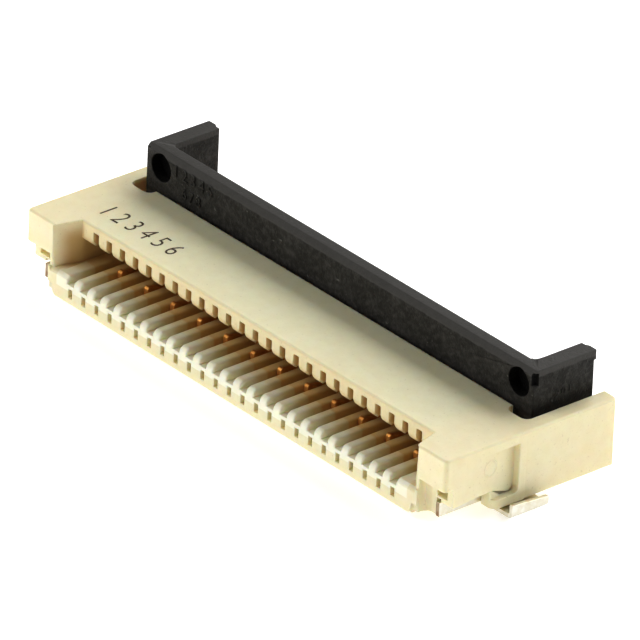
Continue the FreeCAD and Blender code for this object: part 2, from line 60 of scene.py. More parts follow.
ALONG_ROW: Place = (1.0, 0.0, 0.0)
INWARDS: Place = (0.0, 1.0, 0.0)
UPWARDS: Place = (0.0, 0.0, 1.0)


# Shader trees


class Field:
    """One output of a shader tree, with Python's arithmetic."""

    def __init__(self, graph: "Graph", socket: bpy.types.NodeSocket) -> None:
        """Keep the graph that the socket belongs to."""
        self.graph = graph
        self.socket = socket

    def _math(self, operation: str, *values: "Field | float") -> "Field":
        """Add one Math node.

        Args:
            operation: The node's operation.
            values: What goes into its sockets, in order.

        Returns:
            The node's result.
        """
        node = self.graph.node("ShaderNodeMath", {"operation": operation}, dict(enumerate(values)))
        return Field(self.graph, node.outputs[0])

    def __add__(self, other: "Field | float") -> "Field":
        """Sum."""
        return self._math("ADD", self, other)

    def __radd__(self, other: float) -> "Field":
        """Sum with a number on the left."""
        return self._math("ADD", other, self)

    def __sub__(self, other: "Field | float") -> "Field":
        """Difference."""
        return self._math("SUBTRACT", self, other)

    def __rsub__(self, other: float) -> "Field":
        """Difference from a number."""
        return self._math("SUBTRACT", other, self)

    def __mul__(self, other: "Field | float") -> "Field":
        """Product."""
        return self._math("MULTIPLY", self, other)

    def __rmul__(self, other: float) -> "Field":
        """Product with a number on the left."""
        return self._math("MULTIPLY", other, self)

    def __abs__(self) -> "Field":
        """Size without its sign."""
        return self._math("ABSOLUTE", self)

    def root(self) -> "Field":
        """Square root."""
        return self._math("SQRT", self)

    def smaller(self, other: "Field | float") -> "Field":
        """The smaller of two."""
        return self._math("MINIMUM", self, other)

    def larger(self, other: "Field | float") -> "Field":
        """The larger of two."""
        return self._math("MAXIMUM", self, other)

    def rises(self, start: float, end: float) -> "Field":
        """Smooth step of the value.

        Args:
            start: Value where the step is 0.
            end: Value where the step is 1; below start the step falls instead.

        Returns:
            The step, from 0 to 1.
        """
        low, high = min(start, end), max(start, end)
        near, far = (0.0, 1.0) if end > start else (1.0, 0.0)
        node = self.graph.node(
            "ShaderNodeMapRange", {"interpolation_type": "SMOOTHSTEP"},
            {"Value": self, "From Min": low, "From Max": high, "To Min": near, "To Max": far})
        return Field(self.graph, node.outputs["Result"])

    def near(self, middle: float, width: float, soft: float) -> "Field":
        """Soft band round a value.

        Args:
            middle: The value in the middle of the band.
            width: Half the band's width.
            soft: Width of its soft edge.

        Returns:
            1 in the band, 0 away from it.
        """
        return abs(self - middle).rises(width + soft, width)


class Graph:
    """A material's node tree, built up from one Principled shader."""

    def __init__(self, name: str) -> None:
        """Start an empty material.

        Args:
            name: The material's name.
        """
        self.material = bpy.data.materials.new(name)
        self.material.use_nodes = True
        self.tree = self.material.node_tree
        self.tree.nodes.clear()
        self.shader = self.node("ShaderNodeBsdfPrincipled")
        output = self.node("ShaderNodeOutputMaterial")
        self.tree.links.new(self.shader.outputs[0], output.inputs["Surface"])
        coordinates = self.node("ShaderNodeTexCoord")
        scaled = self.node("ShaderNodeVectorMath", {"operation": "SCALE"},
                           {0: Field(self, coordinates.outputs["Object"]), "Scale": 1 / MM})
        self.place = Field(self, scaled.outputs[0])
        split = self.node("ShaderNodeSeparateXYZ", None, {0: self.place})
        self.x, self.y, self.z = (Field(self, socket) for socket in split.outputs)

    def node(self, kind: str, settings: dict[str, Any] | None = None,
             values: dict[str | int, Any] | None = None) -> bpy.types.Node:
        """Add any node.

        Args:
            kind: The node's type.
            settings: Its properties, which are set first.
            values: Numbers, colours or fields for its input sockets.

        Returns:
            The new node.
        """
        node = self.tree.nodes.new(kind)
        for name, value in (settings or {}).items():
            setattr(node, name, value)
        for name, value in (values or {}).items():
            if isinstance(value, Field):
                self.tree.links.new(value.socket, node.inputs[name])
            else:
                node.inputs[name].default_value = value
        return node

    def stretched(self, x: float, y: float, z: float) -> Field:
        """The place in millimetres, scaled along each axis.

        Args:
            x: Factor along X.
            y: Factor along Y.
            z: Factor along Z.

        Returns:
            The scaled place.
        """
        node = self.node("ShaderNodeVectorMath", {"operation": "MULTIPLY"}, {0: self.place, 1: (x, y, z)})
        return Field(self, node.outputs[0])

    def noise(self, scale: float, detail: float, roughness: float = 0.5, place: Field | None = None) -> Field:
        """Smooth noise.

        Args:
            scale: Waves in a millimetre.
            detail: Octaves.
            roughness: Share of the finer octaves.
            place: Where it is read, if not plainly at the place.

        Returns:
            The noise, about 0.5 on average.
        """
        node = self.node("ShaderNodeTexNoise", {"noise_dimensions": "3D"}, {
            "Vector": place or self.place, "Scale": scale, "Detail": detail, "Roughness": roughness})
        return Field(self, node.outputs["Fac"])

    def cells(self, scale: float) -> Field:
        """Distance to the nearest point of a cell pattern.

        Args:
            scale: Cells in a millimetre.

        Returns:
            The distance, in cells.
        """
        node = self.node("ShaderNodeTexVoronoi", None, {"Vector": self.place, "Scale": scale})
        return Field(self, node.outputs["Distance"])

    def ring(self, across: Field, along: Field, radius: float, width: float) -> Field:
        """Thin ring round a point of two fields.

        Args:
            across: First distance from the ring's middle.
            along: Second distance.
            radius: The ring's radius.
            width: Half the line's width.

        Returns:
            1 on the ring, 0 off it.
        """
        return (across * across + along * along).root().near(radius, width, width)

    def tint(self, factor: Field, first: Field | Colour, second: Colour) -> Field:
        """Mix of two colours.

        Args:
            factor: Share of the second.
            first: Colour at 0.
            second: Colour at 1.

        Returns:
            The mixed colour.
        """
        start = first if isinstance(first, Field) else (*first, 1.0)
        node = self.node("ShaderNodeMix", {"data_type": "RGBA", "clamp_factor": True},
                         {0: factor, 6: start, 7: (*second, 1.0)})
        return Field(self, node.outputs[2])

    def bump(self, height: Field, depth: float) -> None:
        """Raise the surface's shading.

        Args:
            height: Height, about 1 at most.
            depth: What 1 stands for, in millimetres.
        """
        node = self.node("ShaderNodeBump", None, {"Height": height, "Distance": depth * MM})
        self.tree.links.new(node.outputs["Normal"], self.shader.inputs["Normal"])

    def finish(self, **sockets: Any) -> bpy.types.Material:
        """Fill the shader's sockets.

        Args:
            sockets: Values or fields, by socket name with underscores for spaces.

        Returns:
            The finished material.
        """
        for name, value in sockets.items():
            socket = self.shader.inputs[name.replace("_", " ")]
            if isinstance(value, Field):
                self.tree.links.new(value.socket, socket)
            else:
                socket.default_value = value
        return self.material


# Finishes


@dataclass(frozen=True)
class IvoryPlastic:
    """Ivory glass-filled resin: fine dark specks, flow lines along the row, painted shade inside the mouth and on
    the teeth, and painted light on the ribs' front ends.

    Lengths are in millimetres. A Fade is where a mask is 0 and where it is 1, a Band its middle, width and edge.
    """

    base: Colour = (0.86, 0.785, 0.545)
    bright: Colour = (0.90, 0.835, 0.605)
    fleck: Colour = (0.52, 0.43, 0.27)
    # inner: colour of the painted shade in the mouth, slots, side walls, notches and on the teeth
    inner: Colour = (0.70, 0.50, 0.22)
    # colour of the painted light on the ribs' front ends
    painted_light: Colour = (0.97, 0.93, 0.76)
    cloud_share: float = 0.55
    flow_share: float = 0.35
    grain_share: float = 0.10
    speck_share: float = 0.30
    painted_light_share: float = 0.90
    teeth_shade_share: float = 0.30
    painted_shade_share: float = 0.90
    roughness: float = 0.42
    relief: float = 0.006
    glow_depth: float = 0.45
    mouth_depth: Fade = (-2.44, -1.44)
    mouth_ceiling: Fade = (1.66, 1.56)
    mouth_side: Fade = (6.55, 6.50)
    slot_depth: Fade = (-2.01, -1.89)
    slot_top: Fade = (1.93, 1.80)
    side_wall: Band = (6.60, 0.13, 0.03)
    side_depth: Fade = (-2.74, -2.25)
    side_top: Fade = (1.99, 1.45)
    before_deck: Fade = (0.30, 0.05)
    above_bottom: Fade = (0.17, 0.26)
    notch_side: Band = (7.13, 0.24, 0.01)
    notch_depth: Band = (0.40, 0.25, 0.02)
    notch_top: Fade = (1.98, 1.85)
    rib_depth: Fade = (-2.15, -2.45)
    rib_height: Band = (0.70, 0.20, 0.02)
    tooth_front: Band = (-1.98, 0.06, 0.02)
    tooth_height: Band = (1.74, 0.23, 0.03)
    print_depth: Fade = (0.18, 0.16)
    print_columns: tuple[float, float] = (3.6, 1.9)
    print_rows: tuple[float, float] = (-0.9, 1.1)
    print_ring: tuple[float, float] = (0.42, 0.03)
    print_height: float = 1.6
    recess_face: Band = (7.79, 0.012, 0.01)
    recess_slant: tuple[float, float] = (-2.61, 0.0926)
    recess_middle: tuple[float, float] = (-1.22, 1.28)
    recess_ring: tuple[float, float] = (0.20, 0.014)
    recess_height: float = 2.0

    def build(self) -> bpy.types.Material:
        """Make the material.

        Returns:
            The ivory plastic.
        """
        graph = Graph("ivory_plastic")
        flow = graph.noise(0.9, 4.0, 0.6, graph.stretched(0.35, 1.0, 1.0))
        cloud = graph.noise(3.2, 3.0, 0.55)
        grain = graph.noise(24.0, 2.0, 0.6)
        specks = graph.noise(15.0, 1.0, 0.5).rises(0.66, 0.80)
        brightness = cloud.rises(0.3, 0.7) * self.cloud_share + flow.rises(0.35, 0.65) * self.flow_share
        colour = graph.tint(brightness, self.base, self.bright)
        colour = graph.tint(grain.rises(0.56, 0.78) * self.grain_share, colour, self.fleck)
        colour = graph.tint(specks * self.speck_share, colour, self.fleck)
        # painted light: the ribs' front ends tinted paler
        colour = graph.tint(self.front_ribs(graph) * self.painted_light_share, colour, self.painted_light)
        # painted shade: the teeth between the slots tinted darker and warmer
        colour = graph.tint(self.teeth(graph) * self.teeth_shade_share, colour, self.inner)
        # painted shade: the inside of the mouth, its slots, side walls and the notches tinted darker and warmer
        colour = graph.tint(self.painted_shade_zones(graph) * self.painted_shade_share, colour, self.inner)
        graph.bump(grain * 0.35 + cloud * 0.5 + self.tool_marks(graph), self.relief)
        return graph.finish(
            Base_Color=colour,
            Roughness=(cloud - 0.5) * 0.16 + (grain - 0.5) * 0.18 + self.roughness,
            IOR=1.52, Specular_IOR_Level=0.42,
            Subsurface_Weight=0.35, Subsurface_Radius=(1.0, 0.60, 0.26), Subsurface_Scale=self.glow_depth * MM)

    def front_ribs(self, graph: Graph) -> Field:
        """Where light is painted: the ribs' ends that stand out in front of the plate.

        Args:
            graph: The material's tree.

        Returns:
            1 on them, 0 elsewhere.
        """
        height = graph.z.near(*self.rib_height)
        return graph.y.rises(*self.rib_depth) * height * abs(graph.x).rises(*self.mouth_side)

    def teeth(self, graph: Graph) -> Field:
        """Where shade is painted on the plate's front edge between the slots.

        Args:
            graph: The material's tree.

        Returns:
            1 on it, 0 elsewhere.
        """
        height = graph.z.near(*self.tooth_height)
        return graph.y.near(*self.tooth_front) * height * abs(graph.x).rises(*self.mouth_side)

    def painted_shade_zones(self, graph: Graph) -> Field:
        """Where shade is painted: the inside of the mouth, of its slots and side walls, and of the notches beside
        the lever.

        Args:
            graph: The material's tree.

        Returns:
            1 well inside, 0 outside.
        """
        wide = abs(graph.x)
        before = graph.y.rises(*self.before_deck)
        mouth = graph.y.rises(*self.mouth_depth) * graph.z.rises(*self.mouth_ceiling)
        slots = graph.y.rises(*self.slot_depth) * graph.z.rises(*self.slot_top)
        walls = wide.near(*self.side_wall) * graph.y.rises(*self.side_depth) * graph.z.rises(*self.side_top)
        row = mouth.larger(slots) * graph.z.rises(*self.above_bottom) * before * wide.rises(*self.mouth_side)
        notch = wide.near(*self.notch_side) * graph.y.near(*self.notch_depth) * graph.z.rises(*self.notch_top)
        return (row.larger(walls * before) + notch).smaller(1.0)

    def tool_marks(self, graph: Graph) -> Field:
        """Prints of the mould's ejector pins: rings below, and a small ring in each end's recess.

        Args:
            graph: The material's tree.

        Returns:
            Their height.
        """
        wide, below = abs(graph.x), graph.z.rises(*self.print_depth)
        middle, spacing = self.print_columns
        column = abs(wide - middle) - spacing
        front, rear = (graph.ring(column, graph.y - row, *self.print_ring) for row in self.print_rows)
        start, slant = self.recess_slant
        recess = (wide + (graph.y - start) * slant).near(*self.recess_face)
        along, up = self.recess_middle
        small = graph.ring(graph.y - along, graph.z - up, *self.recess_ring)
        return (front + rear) * below * self.print_height + small * recess * self.recess_height


@dataclass(frozen=True)
class BlackPlastic:
    """Black glass-filled resin with a spark-eroded skin, smoother on the band along the top; painted sheen makes
    the band paler, with painted glints, and painted shade in the sinks, pockets and arms' feet.
    """

    name: str = "black_plastic"
    base: Colour = (0.038, 0.0365, 0.0325)
    # paler tone of the random mottle, also used as the painted sheen on the top band
    pale_mottle_and_sheen: Colour = (0.105, 0.101, 0.094)
    # colour of the painted glints
    painted_glint: Colour = (0.22, 0.22, 0.20)
    # colour of the painted shade in the sinks, pockets and arms' feet
    dark: Colour = (0.006, 0.006, 0.005)
    spark_share: float = 0.55
    broad_share: float = 0.25
    band_sheen_share: float = 0.8
    painted_glint_share: float = 0.5
    foot_shade_share: float = 0.75
    roughness: float = 0.60
    relief: float = 0.022
    band_line: Fade = (2.90, 2.95)
    sink_middle: tuple[float, float] = (6.62, 2.59)
    sink_radius: Fade = (0.38, 0.36)
    sink_depth: Band = (0.67, 0.18, 0.02)
    pocket_side: Fade = (7.05, 7.06)
    pocket_height: Band = (2.83, 0.15, 0.01)
    pocket_depth: Band = (0.54, 0.065, 0.01)
    foot_side: Fade = (7.10, 7.14)
    foot_top: Fade = (2.30, 1.95)

    def build(self) -> bpy.types.Material:
        """Make the material.

        Returns:
            The black plastic.
        """
        graph = Graph(self.name)
        broad = graph.noise(1.6, 3.0, 0.6)
        spark = graph.noise(6.5, 4.0, 0.65)
        pits = graph.cells(13.0)
        painted_glints = graph.noise(8.0, 0.0).rises(0.80, 0.86)
        band = (graph.z + graph.noise(4.0, 2.0) * 0.05).rises(*self.band_line)
        paleness = spark.rises(0.40, 0.70) * self.spark_share + broad.rises(0.4, 0.7) * self.broad_share
        colour = graph.tint(paleness, self.base, self.pale_mottle_and_sheen)
        # painted sheen: the band along the top tinted paler
        colour = graph.tint(band * self.band_sheen_share, colour, self.pale_mottle_and_sheen)
        # painted glints: small light specks off the band
        colour = graph.tint(painted_glints * (1 - band) * self.painted_glint_share, colour, self.painted_glint)
        # painted shade: sinks, pockets and the arms' feet darkened towards black
        colour = graph.tint(self.painted_shade_hollows(graph), colour, self.dark)
        height = (spark * 1.2 + pits.rises(0.1, 0.5) * 0.35) * (1 - band * 0.6) + graph.noise(40.0, 1.0) * 0.10
        graph.bump(height, self.relief)
        return graph.finish(
            Base_Color=colour,
            Roughness=(spark - 0.5) * 0.25 + self.roughness - band * 0.12,
            IOR=1.5, Specular_IOR_Level=0.18)

    def painted_shade_hollows(self, graph: Graph) -> Field:
        """Where shade is painted: the round sinks, the corner pockets, and partly the arms' feet in the notches.

        Args:
            graph: The material's tree.

        Returns:
            1 inside, 0 outside.
        """
        wide, (middle, high) = abs(graph.x), self.sink_middle
        across, along = wide - middle, graph.z - high
        sink = (across * across + along * along).root().rises(*self.sink_radius) * graph.y.near(*self.sink_depth)
        pocket = graph.z.near(*self.pocket_height) * graph.y.near(*self.pocket_depth)
        foot = wide.rises(*self.foot_side) * graph.z.rises(*self.foot_top) * self.foot_shade_share
        return (sink + wide.rises(*self.pocket_side) * pocket + foot).smaller(1.0)


class Metal(Enum):
    """Platings used on the stamped pieces."""

    GOLD = "gold_plate"
    TIN = "tin_plate"


@dataclass(frozen=True)
class Plating:
    """Thin plating on stamped copper alloy, with rolled lines, and bare where the piece was cut off."""

    metal: Metal
    bright: Colour
    dull: Colour
    bare: Colour
    roughness: float
    cut_ends: Fade
    mottle: float = 3.0
    dull_share: float = 0.8
    bare_share: float = 0.85
    crystal_share: float = 0.35
    relief: float = 0.0035

    def build(self) -> bpy.types.Material:
        """Make the material.

        Returns:
            The plated metal.
        """
        graph = Graph(self.metal.value)
        cloud = graph.noise(self.mottle, 3.0, 0.6)
        rolled = graph.noise(7.0, 3.0, 0.7, graph.stretched(1.0, 0.12, 3.0))
        scratches = graph.noise(22.0, 1.0, 0.5, graph.stretched(2.2, 0.08, 1.0)).rises(0.62, 0.72)
        cut = graph.y.rises(*self.cut_ends)
        colour = graph.tint(cloud.rises(0.35, 0.70) * self.dull_share, self.bright, self.dull)
        colour = graph.tint(cut * self.bare_share, colour, self.bare)
        matt = cut * 0.2
        if self.metal is Metal.TIN:
            crystals = graph.cells(6.5)
            colour = graph.tint(crystals.rises(0.2, 0.7) * self.crystal_share, colour, self.dull)
            matt = crystals * 0.12
        graph.bump(rolled * 0.8 + scratches * 0.6 + cloud * 0.4, self.relief)
        return graph.finish(
            Base_Color=colour,
            Metallic=1.0,
            Roughness=(cloud - 0.5) * 0.30 + scratches * 0.10 + matt + self.roughness)


@dataclass(frozen=True)
class BurntInk:
    """Brown line that a laser leaves on pale resin."""

    line: Colour = (0.075, 0.052, 0.026)
    edge: Colour = (0.20, 0.15, 0.085)
    roughness: float = 0.6
    relief: float = 0.003

    def build(self) -> bpy.types.Material:
        """Make the material.

        Returns:
            The mark's brown.
        """
        graph = Graph("burnt_line")
        grain = graph.noise(30.0, 2.0, 0.6)
        graph.bump(grain, self.relief)
        colour = graph.tint(grain.rises(0.45, 0.75) * 0.7, self.line, self.edge)
        return graph.finish(Base_Color=colour, Roughness=grain * 0.2 + self.roughness)


@dataclass(frozen=True)
class PaleFloor:
    """Matt white light table under the connector."""

    shade: Colour = (0.80, 0.80, 0.80)
    glow: float = 0.55

    def build(self) -> bpy.types.Material:
        """Make the material.

        Returns:
            The floor's white.
        """
        graph = Graph("pale_floor")
        return graph.finish(Base_Color=(*self.shade, 1.0), Roughness=0.9, Specular_IOR_Level=0.2,
                            Emission_Color=(1.0, 1.0, 1.0, 1.0), Emission_Strength=self.glow)


# Meshes


def baked(piece: bpy.types.Object) -> bpy.types.Mesh:
    """The piece's mesh with its modifiers applied.

    Args:
        piece: Any object that Blender can turn into a mesh.

    Returns:
        A new plain mesh.
    """
    bpy.context.view_layer.update()
    graph = bpy.context.evaluated_depsgraph_get()
    shape = piece.evaluated_get(graph)
    return bpy.data.meshes.new_from_object(shape, preserve_all_data_layers=True, depsgraph=graph)


def drop(piece: bpy.types.Object) -> None:
    """Remove a helper object."""
    bpy.data.objects.remove(piece, do_unlink=True)


def placed(name: str, mesh: bpy.types.Mesh) -> bpy.types.Object:
    """Put a finished mesh in the scene.

    Args:
        name: The piece's name.
        mesh: Its mesh, in metres, in place.

    Returns:
        The new object, at the origin.
    """
    mesh.name = name
    piece = bpy.data.objects.new(name, mesh)
    bpy.context.scene.collection.objects.link(piece)
    return piece


@dataclass(frozen=True)
class Corner:
    """A box in millimetres, the same at both ends of the connector, that picks out part of a piece."""

    low: Place
    high: Place

    def holds(self, spot: Vector) -> bool:
        """Whether a place lies in the box or in its mirror image.

        Args:
            spot: The place in millimetres.

        Returns:
            True inside.
        """
        place = (abs(spot.x), spot.y, spot.z)
        return all(low <= value <= high for low, value, high in zip(self.low, place, self.high))


@dataclass(frozen=True)
class Rounding:
    """How the sharp edges of a moulded or stamped piece are rounded, with corners that stay sharp or get more.

    Cuts are planes across Y that add corners first, as far from the middle as cut_reach. A corner of the rounded
    mesh that lies further from the CAD's surface than stray times the rounding's width is put back on it.
    """

    width: float
    segments: int = 2
    angle: float = 28.0
    sharp: tuple[Corner, ...] = ()
    soft: tuple[tuple[Corner, float], ...] = ()
    cuts: tuple[float, ...] = ()
    cut_reach: float = 6.6
    merge: float = 0.0002
    stray: float = 0.6

    def at(self, spot: Vector) -> float:
        """Width of the rounding at a place.

        Args:
            spot: The place in millimetres.

        Returns:
            The width, 0 where the edge stays sharp.
        """
        if any(box.holds(spot) for box in self.sharp):
            return 0.0
        return max([width for box, width in self.soft if box.holds(spot)], default=self.width)

    def merged(self, node: str) -> bmesh.types.BMesh:
        """The CAD node's loose triangles as one closed mesh, with the cuts.

        Args:
            node: The CAD node.

        Returns:
            The mesh in millimetres.
        """
        work = bmesh.new()
        work.from_mesh(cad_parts[node].data)
        bmesh.ops.scale(work, vec=(1 / MM, 1 / MM, 1 / MM), verts=work.verts)
        bmesh.ops.remove_doubles(work, verts=work.verts, dist=self.merge)
        bmesh.ops.recalc_face_normals(work, faces=work.faces)
        for cut in self.cuts:
            inner = [vertex for vertex in work.verts if abs(vertex.co.x) < self.cut_reach]
            inner += [item for item in (*work.edges, *work.faces)
                      if all(abs(vertex.co.x) < self.cut_reach for vertex in item.verts)]
            bmesh.ops.bisect_plane(work, geom=inner, plane_co=(0, cut, 0), plane_no=(0, 1, 0), dist=1e-5)
        return work

    def bevelled(self, work: bmesh.types.BMesh, name: str) -> bpy.types.Mesh:
        """The mesh with its sharp edges rounded.

        Args:
            work: The merged mesh, which gets the edges' weights.
            name: Name of the new mesh.

        Returns:
            The bevelled mesh in millimetres.
        """
        widest = max([self.width, *(width for _, width in self.soft)])
        weight = work.edges.layers.float.new("bevel_weight_edge")
        for edge in work.edges:
            middle = (edge.verts[0].co + edge.verts[1].co) / 2
            if edge.calc_face_angle(0.0) > math.radians(self.angle):
                edge[weight] = self.at(middle) / widest
        mesh = bpy.data.meshes.new(name)
        work.to_mesh(mesh)
        helper = placed(name, mesh)
        bevel = helper.modifiers.new("rounding", "BEVEL")
        bevel.width = widest
        bevel.segments = self.segments
        bevel.limit_method = "WEIGHT"
        bevel.use_clamp_overlap = False
        bevel.loop_slide = False
        bevel.miter_outer = "MITER_SHARP"
        rounded = baked(helper)
        drop(helper)
        return rounded

    def apply(self, node: str, name: str, shift: Vector | None = None,
              reshape: Callable[[Vector], Vector] | None = None) -> bpy.types.Mesh:
        """Merge a node's loose triangles and round its edges.

        Args:
            node: CAD node that the mesh is made from.
            name: Name of the new mesh.
            shift: How far the result is moved, in millimetres.
            reshape: Moves each corner before the rounding.

        Returns:
            The rounded mesh, in metres.
        """
        work = self.merged(node)
        if reshape:
            for vertex in work.verts:
                vertex.co = reshape(vertex.co)
        surface = BVHTree.FromBMesh(work)
        rounded = self.bevelled(work, name)
        work.free()
        for vertex in rounded.vertices:
            spot, _, _, away = surface.find_nearest(vertex.co)
            if away > self.stray * max(self.width, self.at(vertex.co)):
                vertex.co = spot
        for polygon in rounded.polygons:
            polygon.use_smooth = True
        helper = placed(name, rounded)
        helper.modifiers.new("flat_faces", "WEIGHTED_NORMAL")
        result = baked(helper)
        drop(helper)
        result.transform(Matrix.Scale(MM, 4) @ Matrix.Translation(shift or Vector()))
        result.name = name
        return result


def dress(piece: bpy.types.Object, finish: bpy.types.Material, body: str,
          nodes: Sequence[str] = ()) -> bpy.types.Object:
    """Give a piece its finish and its place in the assembly.

    Args:
        piece: The piece.
        finish: Its material.
        body: The body that it moves with.
        nodes: CAD nodes that it stands for.

    Returns:
        The same piece.
    """
    piece.data.materials.clear()
    piece.data.materials.append(finish)
    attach(piece, body)
    if nodes:
        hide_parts(*nodes)
    log.info("%s: %d faces on %s", piece.name, len(piece.data.polygons), body)
    return piece


# Sub-assemblies


@dataclass
class MouldedHousing:
    """The ivory body, with a softly rounded plate edge, a slanted lead-in below it and round ribs on the floor."""

    finish: bpy.types.Material
    rounding: Rounding = Rounding(
        0.018,
        sharp=(
            Corner((6.30, -2.82, 0.10), (6.95, -2.50, 0.40)),  # foot of the lip's end
            Corner((6.60, -2.80, 0.80), (6.90, -2.60, 0.90)),  # floor's corner below the ear
        ),
        soft=(
            (Corner((0.0, -2.10, 1.98), (6.50, -1.98, 2.02)), 0.07),  # plate's front edge
            (Corner((6.50, -2.60, 1.98), (6.66, -2.10, 2.02)), 0.05),  # ear's inner edge
            (Corner((0.0, -2.10, 1.48), (6.40, -1.98, 1.60)), 0.04),  # teeth's lower edge
            (Corner((0.0, -2.82, 0.70), (6.40, -0.15, 0.87)), 0.05),  # ribs
            (Corner((7.55, -0.46, 0.80), (7.80, -0.44, 1.60)), 0.04),  # recess's rear edge
        ),
        cuts=(-1.90, -1.70))
    plate_edge: Corner = Corner((0.0, -2.20, 0.80), (6.55, -1.85, 2.10))
    edge_line: float = -2.10
    edge_shift: float = 0.12
    slot_zone: Corner = Corner((0.0, -2.20, 1.50), (6.30, -1.85, 1.95))
    slot_half: float = 0.2
    slot_shrink: float = 0.17
    slot_drop: float = 0.06
    pitch: float = 0.5
    tooth_bottom: Corner = Corner((0.0, -2.20, 1.50), (6.55, -1.85, 1.65))
    slot_top: Corner = Corner((0.0, -2.20, 1.80), (6.55, -1.85, 1.95))
    tooth_drop: tuple[float, float] = (0.03, 0.16)
    ceiling: Corner = Corner((0.0, -1.85, 1.50), (6.55, -0.15, 1.63))
    ceiling_drop: float = 0.11
    ear_corner: Corner = Corner((6.75, -2.75, 0.0), (6.80, -2.65, 2.10))
    ear_shift: float = 0.08

    def settled(self, spot: Vector) -> Vector:
        """Where a corner of the mouth comes to lie.

        Args:
            spot: The CAD's place in millimetres.

        Returns:
            The place in millimetres in the visual.
        """
        x, y, z = spot
        if self.plate_edge.holds(spot):
            ahead = y < self.edge_line
            offset = (x + self.pitch / 2) % self.pitch - self.pitch / 2
            if self.slot_zone.holds(spot) and abs(offset) < self.slot_half:
                x -= offset * self.slot_shrink
            if self.slot_top.holds(spot):
                z -= self.slot_drop
            elif self.tooth_bottom.holds(spot):
                z -= self.tooth_drop[0] if ahead else self.tooth_drop[1]
            if ahead:
                y += self.edge_shift
        elif self.ceiling.holds(spot):
            z -= self.ceiling_drop
        elif self.ear_corner.holds(spot):
            x -= math.copysign(self.ear_shift, x)
        return Vector((x, y, z))

    def build(self) -> bpy.types.Object:
        """Make the housing with rounded edges.

        Returns:
            The housing.
        """
        mesh = self.rounding.apply("housing", "moulded_housing", reshape=self.settled)
        return dress(placed("moulded_housing", mesh), self.finish, "body", ["housing"])


@dataclass
class FlipLever:
    """The black lever at the rear, with a tight inner bend at each end."""

    finish: bpy.types.Material
    rounding: Rounding = Rounding(
        0.024,
        sharp=(
            Corner((6.40, 0.75, 2.90), (6.75, 1.10, 3.10)),  # inner bend at the top
            Corner((6.60, 0.40, 1.10), (6.80, 1.30, 1.75)),  # arm's foot
            Corner((6.20, 0.60, 1.90), (7.00, 1.30, 2.05)),  # web behind the bar
        ))
    bend: Corner = Corner((6.28, 0.81, 1.99), (6.70, 1.30, 3.10))
    bend_front: float = 0.879
    bend_start: tuple[float, float] = (6.29, 1.28)
    bend_middle: tuple[float, float] = (6.59, 0.98)
    bend_share: float = 0.25
    pocket: Corner = Corner((7.05, 0.0, 2.60), (7.40, 0.61, 2.97))
    pocket_rise: float = 0.04
    pocket_floor: tuple[float, float] = (0.47, 0.49)
    pocket_sink: float = 0.026

    def settled(self, spot: Vector) -> Vector:
        """Where a corner of the lever comes to lie: a tighter inner bend, and a higher pocket at each end.

        Args:
            spot: The CAD's place in millimetres.

        Returns:
            The place in millimetres in the visual.
        """
        x, y, z = spot
        wide = abs(x)
        if self.bend.holds(spot):
            if y >= self.bend_front:
                y = self.bend_middle[1] + (y - self.bend_start[1]) * self.bend_share
            wide = self.bend_middle[0] + (wide - self.bend_start[0]) * self.bend_share
        elif self.pocket.holds(spot):
            z += self.pocket_rise
            if self.pocket_floor[0] < y < self.pocket_floor[1]:
                y += self.pocket_sink
        return Vector((math.copysign(wide, x), y, z))

    def build(self) -> bpy.types.Object:
        """Make the lever with rounded edges.

        Returns:
            The lever.
        """
        mesh = self.rounding.apply("lever", "flip_lever", reshape=self.settled)
        return dress(placed("flip_lever", mesh), self.finish, "flip_lever", ["lever"])


